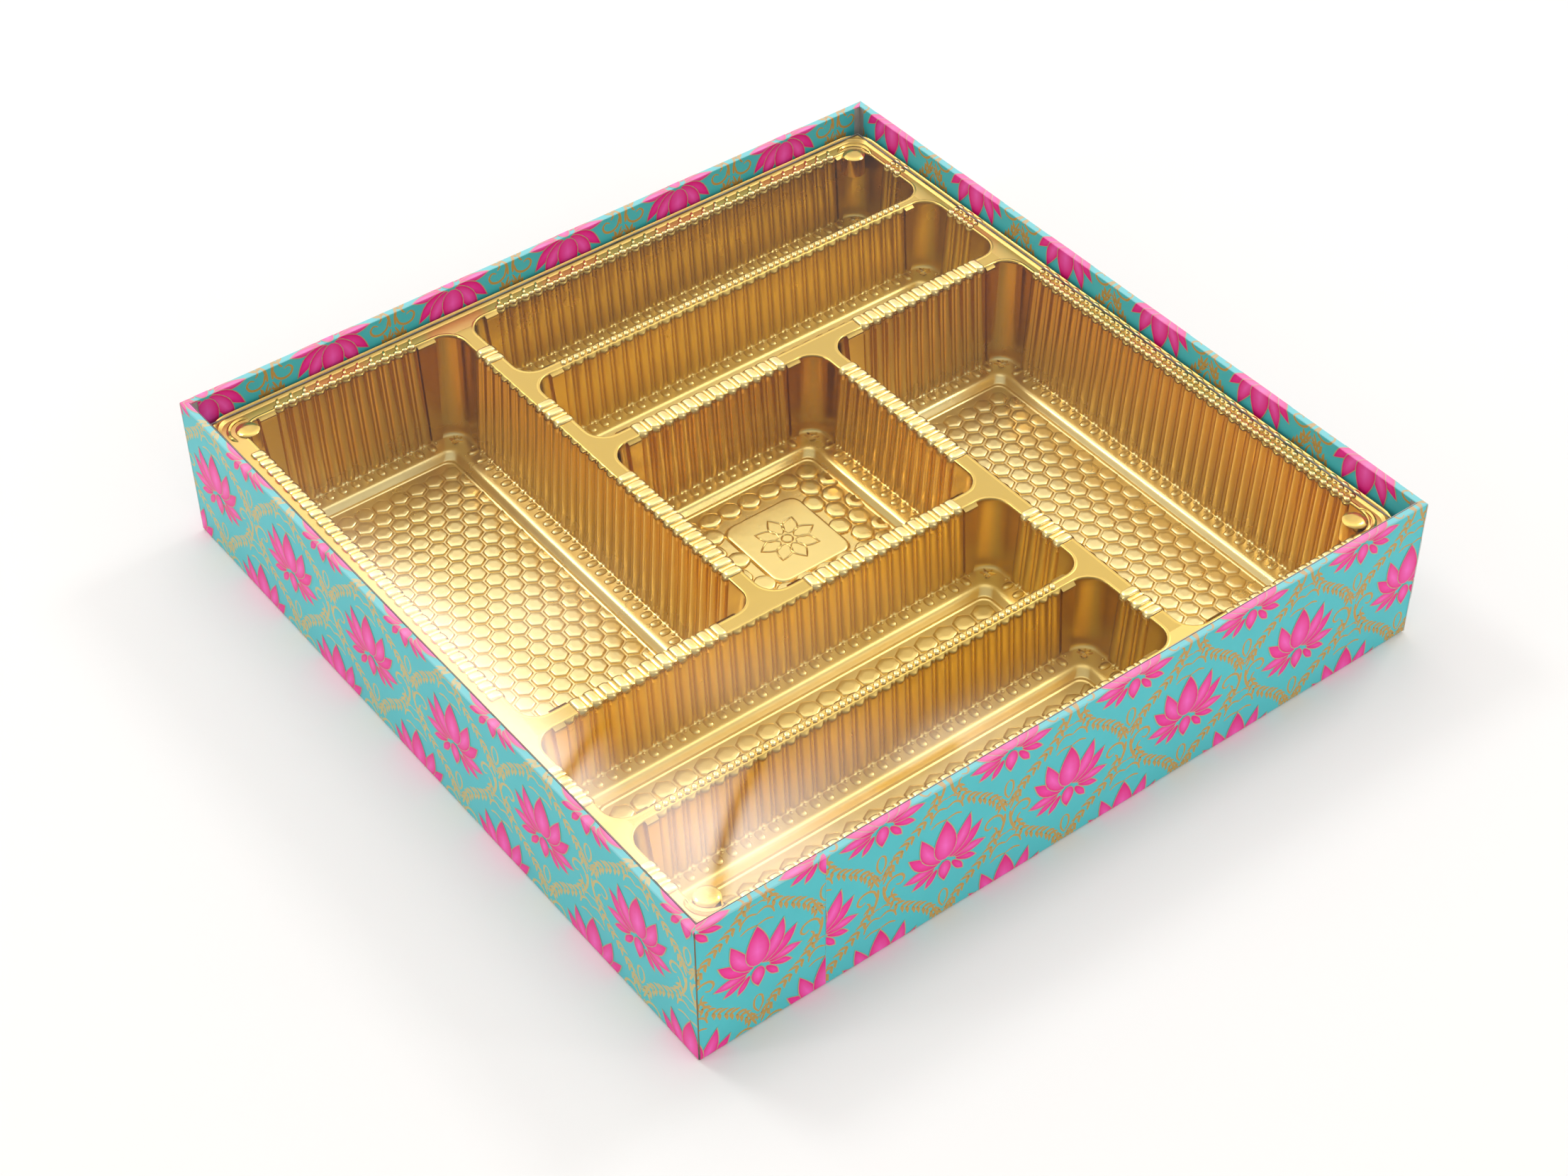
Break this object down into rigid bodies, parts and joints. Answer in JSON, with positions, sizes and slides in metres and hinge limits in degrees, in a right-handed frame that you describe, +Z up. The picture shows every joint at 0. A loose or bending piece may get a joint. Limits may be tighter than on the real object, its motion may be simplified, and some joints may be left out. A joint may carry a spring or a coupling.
{
  "type": "mithai sweet box",
  "caption": "Square open sweet box of paper-wrapped board with turned-in rims, a lift-out formed gold tray of fluted compartments and a clear cover sheet.",
  "frame": {"origin": "centre of the box's square footprint, on the resting plane at the underside of the base sheet", "axes": "+Z up to the open mouth; +Y from the lapped front wall to the back wall; +X along the front wall to the right"},
  "size_m": [0.254, 0.254, 0.05],
  "materials": {
    "board": "bare greyboard",
    "tape": "gummed kraft paper tape",
    "printed_paper": "gloss-laminated art paper printed with lotuses in a scroll trellis",
    "lining_paper": "matte white paper",
    "gold_sheet": "metallised gold thermoformed sheet",
    "clear_film": "clear gloss film"
  },
  "bodies": {
    "box": {"base_board": "board", "front_wall_board": "board", "back_wall_board": "board", "left_wall_board": "board", "right_wall_board": "board", "corner_stay_front_left": "tape", "corner_stay_back_left": "tape", "corner_stay_front_right": "tape", "corner_stay_back_right": "tape", "printed_wrap": "printed_paper", "base_sheet": "lining_paper", "floor_liner": "lining_paper"},
    "tray": {"tray_web": "gold_sheet", "cup_left_large": "gold_sheet", "cup_back_long": "gold_sheet", "cup_inner_back_long": "gold_sheet", "cup_centre": "gold_sheet", "cup_right_large": "gold_sheet", "cup_inner_front_long": "gold_sheet", "cup_front_long": "gold_sheet"},
    "cover": {"cover_sheet": "clear_film"}
  },
  "joints": [
    {"name": "tray_lift", "type": "slide", "parent": "box", "child": "tray", "axis": [0, 0, 1], "range_m": [0, 0.06]},
    {"name": "cover_lift", "type": "slide", "parent": "tray", "child": "cover", "axis": [0, 0, 1], "range_m": [0, 0.04]}
  ]
}
